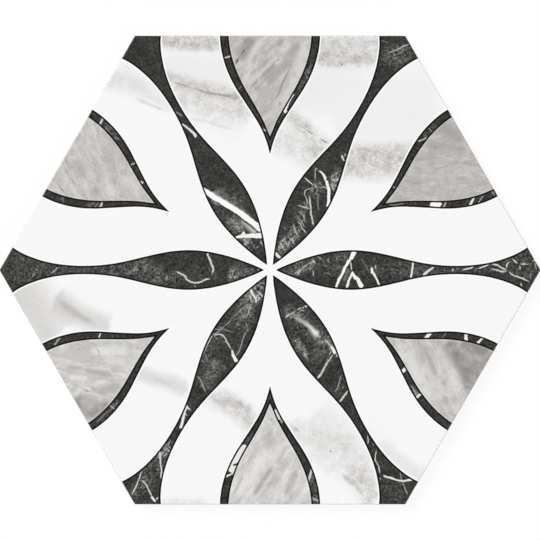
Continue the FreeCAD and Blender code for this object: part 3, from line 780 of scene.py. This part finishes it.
def heart_marble(graph, x, y, loose_x, loose_y, mottle, grain, sector):
    """Brightness of the grey marble in a petal's heart, with its streaks all one way."""
    base, turn, strength = HEARTS[sector]
    turn = math.radians(turn)
    place = graph.join(x, y, 1.0)
    streaks = graph.join(graph.along(place, (0, 0), turn, 3.3),
                         graph.along(place, (0, 0), turn + math.pi / 2, 1.0))
    coarse = graph.noise(streaks, 0.18, detail=5.0, roughness=0.65, distortion=0.8)
    fibres = graph.noise(streaks, 1.0, detail=2.0, roughness=0.6)
    tone = graph.math("ADD", swing(graph, coarse, strength), swing(graph, fibres, 9))
    tone = graph.math("ADD", tone, swing(graph, grain, 6))
    tone = graph.math("ADD", tone, swing(graph, mottle, 12))
    tone = graph.math("ADD", tone, base)
    veined = add_veins(graph, tone, loose_x, loose_y, veins_near(sector, HEART_VEINS), 1.0, 5.0)
    return graph.blend(graph.ramp(mottle, 0.36, 0.56, 0.5, 1.15), tone, veined)


def printed_face(graph, place, sector):
    """Colour of the printed face at a place in mm in one sector."""
    x, y, _ = graph.split(place)
    flat = graph.join(x, y, 1.0)
    axis = sector_axis(sector)
    along = graph.along(flat, (0, 0), axis, 1.0)
    beside = graph.math("ABSOLUTE", graph.along(flat, (0, 0), axis + math.pi / 2, 1.0))
    half = graph.join(along, beside, 1.0)
    along_band = graph.along(half, (0, 0), HALF_SECTOR, 1.0)
    beside_band = graph.along(half, (0, 0), HALF_SECTOR - math.pi / 2, 1.0)
    band = depth_inside(graph, along_band, beside_band, BAND)
    petal = depth_inside(graph, along, beside, PETAL)
    heart = depth_inside(graph, along, beside, PETAL_HEART)

    def inside(depth):
        return graph.ramp(depth, -PRINT_BLUR / 2, PRINT_BLUR / 2)

    loose_x, loose_y = wavering(graph, x, y, 5.0, 0.9)
    mottle = graph.noise(flat, 0.2, detail=6.0, roughness=0.7)
    grain = graph.noise(flat, 0.75, detail=2.0, roughness=0.6)
    threads = graph.noise(flat, 0.24, detail=2.0, roughness=0.5, distortion=1.4)
    threads = graph.math("ABSOLUTE", graph.math("SUBTRACT", threads, 0.5))
    threads = graph.ramp(threads, 0.05, 0.0)
    textures = {"mottle": mottle, "grain": grain}
    loose = {"loose_x": loose_x, "loose_y": loose_y}
    tone = grouped(graph, "white_marble", partial(white_marble, sector=sector), x=x, y=y,
                   threads=threads, **loose, **textures)
    for depth in (band, petal):
        tone = graph.blend(between(graph, depth, -KEYLINE, 0), tone, KEY)
    black = grouped(graph, "black_marble", partial(black_marble, sector=sector), x=loose_x,
                    y=loose_y, threads=threads, **textures)
    tone = graph.blend(inside(graph.math("MAXIMUM", band, petal)), tone, black)
    marble = grouped(graph, "heart_marble", partial(heart_marble, sector=sector), x=x, y=y,
                     **loose, **textures)
    marble = graph.math("ADD", marble, graph.ramp(heart, 0.9, 0.3, 0, 14))
    tone = graph.blend(inside(heart), tone, marble)
    for depth, low, high in ((band, 0, STROKE), (petal, 0, STROKE), (heart, -STROKE, 0)):
        tone = graph.blend(between(graph, depth, low, high), tone, LINE)

    colour = graph.add("ShaderNodeValToRGB")
    stops = colour.color_ramp.elements
    while len(stops) < len(TONES):
        stops.new(0.5)
    for stop, (brightness, shown) in zip(stops, TONES):
        stop.position = brightness / 255
        stop.color = srgb(*shown)
    graph.feed(colour.inputs[0], graph.math("DIVIDE", tone, 255))
    return colour.outputs[0]


def start_material(name):
    material = bpy.data.materials.new(name)
    material.use_nodes = True
    graph = Graph(material.node_tree)
    coordinates = graph.add("ShaderNodeTexCoord").outputs["Object"]
    scaled = graph.add("ShaderNodeVectorMath", operation="SCALE")
    graph.feed(scaled.inputs[0], coordinates)
    scaled.inputs["Scale"].default_value = 1 / MM
    return material, graph, scaled.outputs[0], material.node_tree.nodes["Principled BSDF"]


def bump(graph, height, depth):
    """Normal for a height from 0 to 1 that stands for a depth in mm."""
    node = graph.add("ShaderNodeBump")
    node.inputs["Distance"].default_value = depth * MM
    graph.feed(node.inputs["Height"], height)
    return node.outputs[0]


def bare_porcelain(graph, place):
    """Colour of the pressed and fired body: pale and warm, with fine specks."""
    cloudy = graph.noise(place, 0.05, detail=4.0, roughness=0.6)
    colour = graph.mix(graph.ramp(cloudy, 0.35, 0.65), srgb(203, 198, 189), srgb(214, 210, 203))
    for scale, low, high, shade in ((1.9, 0.66, 0.72, srgb(160, 150, 138)),
                                    (3.1, 0.68, 0.74, srgb(120, 112, 104)),
                                    (2.4, 0.67, 0.73, srgb(236, 233, 228))):
        specks = graph.ramp(graph.noise(place, scale, detail=2.0), low, high)
        colour = graph.mix(graph.math("MULTIPLY", specks, 0.6), colour, shade)
    return colour


def glaze_material(sector):
    """Printed face under a satin glaze, which ends in a wavy line low on the rounded arris."""
    material, graph, place, shader = start_material("printed_glaze_" + SECTORS[sector])
    height = graph.split(place)[2]
    drift = graph.noise(place, 0.12, detail=4.0, roughness=0.6)
    edge = graph.math("MULTIPLY_ADD", drift, 0.55, GLAZE_FOOT - 0.27)
    glazed = graph.ramp(graph.math("SUBTRACT", height, edge), 0.0, 0.08)
    graph.feed(shader.inputs["Base Color"],
               graph.mix(glazed, bare_porcelain(graph, place),
                        printed_face(graph, place, sector)))
    satin = graph.ramp(graph.noise(place, 0.08, detail=5.0, roughness=0.65), 0.3, 0.7, 0.25, 0.31)
    graph.feed(shader.inputs["Roughness"], graph.blend(glazed, 0.62, satin))
    ripple = graph.noise(place, 0.9, detail=2.0)
    graph.feed(shader.inputs["Normal"], bump(graph, ripple, 0.006))
    shader.inputs["Specular IOR Level"].default_value = 0.4
    return material


def side_material():
    """Bare porcelain pressed in a steel mould: fine upright draw marks and small pits, with painted shade darkening
    the pits.
    """
    material, graph, place, shader = start_material("pressed_sides")
    colour = bare_porcelain(graph, place)
    drawn = graph.vector("MULTIPLY", place, (1.6, 1.6, 0.08))
    marks = graph.noise(drawn, 1.0, detail=4.0, roughness=0.6)
    colour = graph.mix(graph.ramp(marks, 0.5, 0.8, 0.0, 0.35), colour, srgb(172, 164, 153))
    pits = graph.ramp(graph.noise(place, 1.3, detail=3.0), 0.62, 0.7)
    # Painted shade: the pits, which the bump also sinks, are darkened in colour.
    colour = graph.mix(graph.math("MULTIPLY", pits, 0.4), colour, srgb(150, 142, 131))
    graph.feed(shader.inputs["Base Color"], colour)
    graph.feed(shader.inputs["Roughness"], graph.ramp(marks, 0.3, 0.7, 0.6, 0.75))
    relief = graph.math("SUBTRACT", marks, graph.math("MULTIPLY", pits, 0.6))
    graph.feed(shader.inputs["Normal"], bump(graph, relief, 0.03))
    shader.inputs["Specular IOR Level"].default_value = 0.3
    return material


def back_material():
    """Bare back with white kiln wash rubbed over the ribs' tops in the way of the rollers, and painted shade
    darkening the hollows between the ribs.
    """
    material, graph, place, shader = start_material("pressed_back")
    height = graph.split(place)[2]
    colour = bare_porcelain(graph, place)
    floor = graph.ramp(height, 0.1, 0.6)
    # Painted shade: the hollows between the ribs are darkened, more so deeper in.
    colour = graph.mix(graph.math("MULTIPLY", floor, 0.35), colour, srgb(176, 166, 152))
    rolled = graph.vector("MULTIPLY", place, (0.05, 0.6, 1.0))
    streaks = graph.noise(rolled, 0.5, detail=5.0, roughness=0.65)
    patches = graph.noise(place, 0.035, detail=5.0, roughness=0.65)
    wash = graph.math("MULTIPLY", graph.ramp(streaks, 0.38, 0.62), graph.ramp(patches, 0.4, 0.6))
    grains = graph.ramp(graph.noise(place, 1.6, detail=4.0, roughness=0.7), 0.42, 0.58)
    wash = graph.math("MULTIPLY", graph.math("MULTIPLY", wash, grains),
                      graph.math("SUBTRACT", 1.0, floor))
    colour = graph.mix(graph.math("MULTIPLY", wash, 0.85), colour, srgb(240, 239, 235))
    graph.feed(shader.inputs["Base Color"], colour)
    graph.feed(shader.inputs["Roughness"], graph.ramp(wash, 0.0, 1.0, 0.68, 0.9))
    relief = graph.noise(place, 1.1, detail=5.0, roughness=0.7)
    graph.feed(shader.inputs["Normal"], bump(graph, relief, 0.05))
    shader.inputs["Specular IOR Level"].default_value = 0.25
    return material


def hexagon_reach(place):
    """Distance from the middle towards the nearest side, and the number of that side."""
    ways = [math.radians(30 + 60 * side) for side in range(6)]
    reaches = [place.x * math.cos(way) + place.y * math.sin(way) for way in ways]
    return max(reaches), reaches.index(max(reaches))


def face_region(face, reach_of_sides):
    """Number of a face's material, and for one on the sides the number of its side."""
    middle = face.calc_center_median()
    if face.normal.z > math.cos(math.radians(45)):
        return int(math.atan2(middle.y, middle.x) / (2 * HALF_SECTOR) % 6), 0
    reach, side = hexagon_reach(middle)
    if face.normal.z > -math.cos(math.radians(40)) and reach > reach_of_sides:
        return SIDES, side
    return BACK, 0


def lay_out_map(shape, tile_width, tile_height, reach_of_sides):
    """One picture for the whole tile: most of it is the printed face, then a small back in a
    corner, and the six sides as strips above the face."""
    layer = shape.loops.layers.uv.new("OFBake")
    half_ratio = math.sqrt(3) / 4
    face_middle = Vector((FACE_SHARE / 2, FACE_SHARE * half_ratio))
    back_middle = Vector((1 - BACK_SHARE / 2, 1 - BACK_SHARE * half_ratio))
    side_length = tile_width / 2
    for face in shape.faces:
        region, side = face_region(face, reach_of_sides)
        face.material_index = region
        way = math.radians(30 + 60 * side)
        along_side = Vector((-math.sin(way), math.cos(way), 0))
        corner = Vector(STRIP_CORNER) + Vector((side % 2 * STRIP_STEP[0], side // 2 * STRIP_STEP[1]))
        for loop in face.loops:
            place = loop.vert.co
            if region == BACK:
                spot = back_middle + place.xy / tile_width * BACK_SHARE
            elif region == SIDES:
                share = place.dot(along_side) / side_length + 0.5
                spot = corner + Vector((share * STRIP_SIZE[0], place.z / tile_height * STRIP_SIZE[1]))
            else:
                spot = face_middle + place.xy / tile_width * FACE_SHARE
            loop[layer].uv = spot


def cut_sectors(shape):
    """Cut the face and its arris from corner to corner, where the materials of sectors meet."""
    for turn in (0, 2 * HALF_SECTOR, 4 * HALF_SECTOR):
        faces = [face for face in shape.faces if face.normal.z > math.cos(math.radians(45))]
        edges = {edge for face in faces for edge in face.edges}
        verts = {vert for face in faces for vert in face.verts}
        bmesh.ops.bisect_plane(shape, geom=[*faces, *edges, *verts], dist=0.001 * MM,
                               plane_co=(0, 0, 0), plane_no=(-math.sin(turn), math.cos(turn), 0))


def build_tile(node):
    """The CAD tile as one clean mesh, with the pressed edges of the back slightly eased."""
    low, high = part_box(NODE)
    shape = bmesh.new()
    shape.from_mesh(node.data)
    bmesh.ops.remove_doubles(shape, verts=shape.verts, dist=0.001 * MM)
    bmesh.ops.dissolve_limit(shape, angle_limit=math.radians(0.5), verts=shape.verts,
                             edges=shape.edges)
    sharp = [edge for edge in shape.edges if edge.calc_face_angle(0) > math.radians(30)]
    bmesh.ops.bevel(shape, geom=sharp, offset=EASED_EDGE * MM, offset_type="OFFSET", segments=2,
                    profile=0.5, affect="EDGES", clamp_overlap=True)
    shape.normal_update()
    cut_sectors(shape)
    bmesh.ops.triangulate(shape, faces=[face for face in shape.faces if len(face.verts) > 4])
    shape.normal_update()
    tile_width, tile_height = high.x - low.x, high.z - low.z
    reach_of_sides = high.y - SIDE_DEPTH * MM
    lay_out_map(shape, tile_width, tile_height, reach_of_sides)
    for face in shape.faces:
        face.smooth = True
    mesh = bpy.data.meshes.new("glazed_tile")
    shape.to_mesh(mesh)
    shape.free()
    mesh.set_sharp_from_angle(angle=math.radians(35))
    tile = bpy.data.objects.new("glazed_tile", mesh)
    bpy.context.scene.collection.objects.link(tile)
    for material in (*map(glaze_material, range(6)), side_material(), back_material()):
        mesh.materials.append(material)
    weighted = tile.modifiers.new("even_shading", "WEIGHTED_NORMAL")
    weighted.keep_sharp = True
    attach(tile, "root")
    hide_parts(NODE)
    return tile


def add_floor():
    """White floor. Part of what the camera sees of it is even white, so the shadow is faint."""
    bpy.ops.mesh.primitive_plane_add(size=40)
    floor = bpy.context.object
    floor.name = "studio_floor"
    material = bpy.data.materials.new("studio_floor")
    material.use_nodes = True
    tree = material.node_tree
    graph = Graph(tree)
    shader = tree.nodes["Principled BSDF"]
    shader.inputs["Base Color"].default_value = (1, 1, 1, 1)
    shader.inputs["Roughness"].default_value = 1.0
    shader.inputs["Specular IOR Level"].default_value = 0.0
    even = graph.add("ShaderNodeEmission")
    rays = graph.add("ShaderNodeLightPath").outputs
    seen = graph.math("MAXIMUM", rays["Is Camera Ray"], rays["Is Glossy Ray"])
    mix = graph.add("ShaderNodeMixShader")
    graph.feed(mix.inputs[0], graph.math("MULTIPLY", seen, 0.88))
    graph.feed(mix.inputs[1], shader.outputs[0])
    graph.feed(mix.inputs[2], even.outputs[0])
    graph.feed(tree.nodes["Material Output"].inputs["Surface"], mix.outputs[0])
    floor.data.materials.append(material)


def add_world():
    """Soft dome: white at the horizon and darker overhead, as under a studio's ceiling."""
    world = bpy.data.worlds.new("studio")
    bpy.context.scene.world = world
    world.use_nodes = True
    graph = Graph(world.node_tree)
    background = world.node_tree.nodes["Background"]
    height = graph.split(graph.add("ShaderNodeTexCoord").outputs["Generated"])[2]
    light = graph.ramp(height, 0.0, 1.0, 1.0, 0.05, smooth=False)
    graph.feed(background.inputs["Color"], light)


def add_sun(name, share, azimuth, elevation, spread):
    """Soft lamp that gives a level white surface this share of its brightness."""
    light = bpy.data.lights.new(name, "SUN")
    light.angle = math.radians(spread)
    light.energy = share * math.pi / math.sin(math.radians(elevation))
    lamp = bpy.data.objects.new(name, light)
    bpy.context.scene.collection.objects.link(lamp)
    turn, rise = math.radians(azimuth), math.radians(elevation)
    towards = Vector((math.cos(turn) * math.cos(rise), math.sin(turn) * math.cos(rise),
                      math.sin(rise)))
    lamp.rotation_euler = towards.to_track_quat("Z", "Y").to_euler()
    lamp.location = towards


def add_camera(low, high):
    """Straight down on the tile, whose corners touch the left and right of the picture."""
    camera = bpy.data.objects.new("camera", bpy.data.cameras.new("camera"))
    bpy.context.scene.collection.objects.link(camera)
    camera.data.lens = 200
    picture_width = (high.x - low.x) * 0.998
    distance = picture_width * camera.data.lens / camera.data.sensor_width
    camera.location = (0, 0, high.z + distance)
    camera.data.clip_end = 100
    bpy.context.scene.camera = camera


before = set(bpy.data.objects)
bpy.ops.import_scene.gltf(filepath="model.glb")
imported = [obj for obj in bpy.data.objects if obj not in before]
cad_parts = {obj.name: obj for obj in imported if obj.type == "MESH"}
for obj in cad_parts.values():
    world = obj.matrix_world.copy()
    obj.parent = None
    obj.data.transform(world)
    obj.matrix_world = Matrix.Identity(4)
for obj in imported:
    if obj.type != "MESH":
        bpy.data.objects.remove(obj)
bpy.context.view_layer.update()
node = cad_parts[NODE]
build_tile(node)
low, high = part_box(NODE)
add_floor()
add_world()
add_sun("key", 0.50, 140, 50, 30)
add_sun("fill", 0.14, -40, 48, 30)
add_camera(low, high)
bpy.context.scene.view_settings.view_transform = "Standard"
